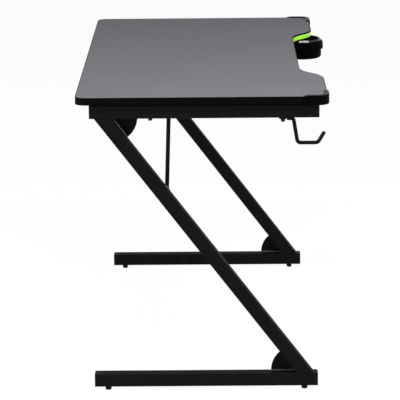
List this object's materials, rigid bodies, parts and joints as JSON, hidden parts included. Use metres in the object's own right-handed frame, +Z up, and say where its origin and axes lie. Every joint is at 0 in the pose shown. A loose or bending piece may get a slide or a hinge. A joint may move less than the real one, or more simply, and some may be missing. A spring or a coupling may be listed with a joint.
{
  "type": "gaming desk",
  "caption": "Desk with a front-recessed grey top on Z-shaped steel tube legs, with corner guards, a headphone hook, a swing-out cup holder and screw-levelled feet.",
  "frame": {"origin": "on the floor, under the middle of the desk's overall box", "axes": "+X to the sitter's right along the board, +Y to the rear, +Z up; the sitter is at -Y"},
  "size_m": [1.106, 0.632, 0.738],
  "materials": {
    "grey_laminate": "fine-textured grey laminate on particleboard",
    "edge_band_plastic": "black edge band",
    "green_accent": "lime green moulded strip",
    "guard_plastic": "black moulded, satin",
    "frame_paint": "black powder coat, fine texture",
    "cap_plastic": "black moulded",
    "pad_plastic": "black moulded",
    "zinc_steel": "zinc plated",
    "black_bolts": "black oxide",
    "spacer_rubber": "black rubber",
    "hook_paint": "black powder coat",
    "cup_plastic": "black moulded, semi-gloss",
    "washer_nylon": "natural nylon"
  },
  "bodies": {
    "desk": {"desktop_board": "grey_laminate", "desktop_edge_band": "edge_band_plastic", "left_accent_strip": "green_accent", "right_accent_strip": "green_accent", "left_corner_guard": "guard_plastic", "right_corner_guard": "guard_plastic", "left_top_rail": "frame_paint", "left_foot_rail": "frame_paint", "left_diagonal_leg": "frame_paint", "left_upper_gusset": "frame_paint", "left_lower_gusset": "frame_paint", "left_strut": "frame_paint", "left_rail_front_cap": "cap_plastic", "left_rail_rear_cap": "cap_plastic", "left_foot_front_cap": "cap_plastic", "left_foot_rear_cap": "cap_plastic", "right_top_rail": "frame_paint", "right_foot_rail": "frame_paint", "right_diagonal_leg": "frame_paint", "right_upper_gusset": "frame_paint", "right_lower_gusset": "frame_paint", "right_strut": "frame_paint", "right_rail_front_cap": "cap_plastic", "right_rail_rear_cap": "cap_plastic", "right_foot_front_cap": "cap_plastic", "right_foot_rear_cap": "cap_plastic", "front_cross_rail": "frame_paint", "front_left_rail_flange": "frame_paint", "front_right_rail_flange": "frame_paint", "rear_cross_rail": "frame_paint", "rear_left_rail_flange": "frame_paint", "rear_right_rail_flange": "frame_paint", "desktop_bolts": "black_bolts", "hook_bolt": "black_bolts", "flange_bolts": "black_bolts", "cup_pivot_bolt": "black_bolts", "flange_rivet_nuts": "zinc_steel", "leveller_rivet_nuts": "zinc_steel", "desktop_insert_nuts": "zinc_steel", "desktop_spacers": "spacer_rubber", "headphone_hook": "hook_paint", "cup_pivot_washer": "washer_nylon"},
    "cup_holder": {"cup_holder": "cup_plastic"},
    "left_front_leveller": {"left_front_leveller_pad": "pad_plastic", "left_front_leveller_stud": "zinc_steel"},
    "left_rear_leveller": {"left_rear_leveller_pad": "pad_plastic", "left_rear_leveller_stud": "zinc_steel"},
    "right_front_leveller": {"right_front_leveller_pad": "pad_plastic", "right_front_leveller_stud": "zinc_steel"},
    "right_rear_leveller": {"right_rear_leveller_pad": "pad_plastic", "right_rear_leveller_stud": "zinc_steel"}
  },
  "joints": [
    {"name": "cup_holder_swing", "type": "hinge", "parent": "desk", "child": "cup_holder", "pos_m": [0.415, -0.246, 0.712], "axis": [0, 0, 1], "range_deg": [-20, 100]},
    {"name": "left_front_leveller_screw", "type": "slide", "parent": "desk", "child": "left_front_leveller", "axis": [0, 0, -1], "range_m": [0, 0.008]},
    {"name": "left_rear_leveller_screw", "type": "slide", "parent": "desk", "child": "left_rear_leveller", "axis": [0, 0, -1], "range_m": [0, 0.008]},
    {"name": "right_front_leveller_screw", "type": "slide", "parent": "desk", "child": "right_front_leveller", "axis": [0, 0, -1], "range_m": [0, 0.008]},
    {"name": "right_rear_leveller_screw", "type": "slide", "parent": "desk", "child": "right_rear_leveller", "axis": [0, 0, -1], "range_m": [0, 0.008]}
  ]
}
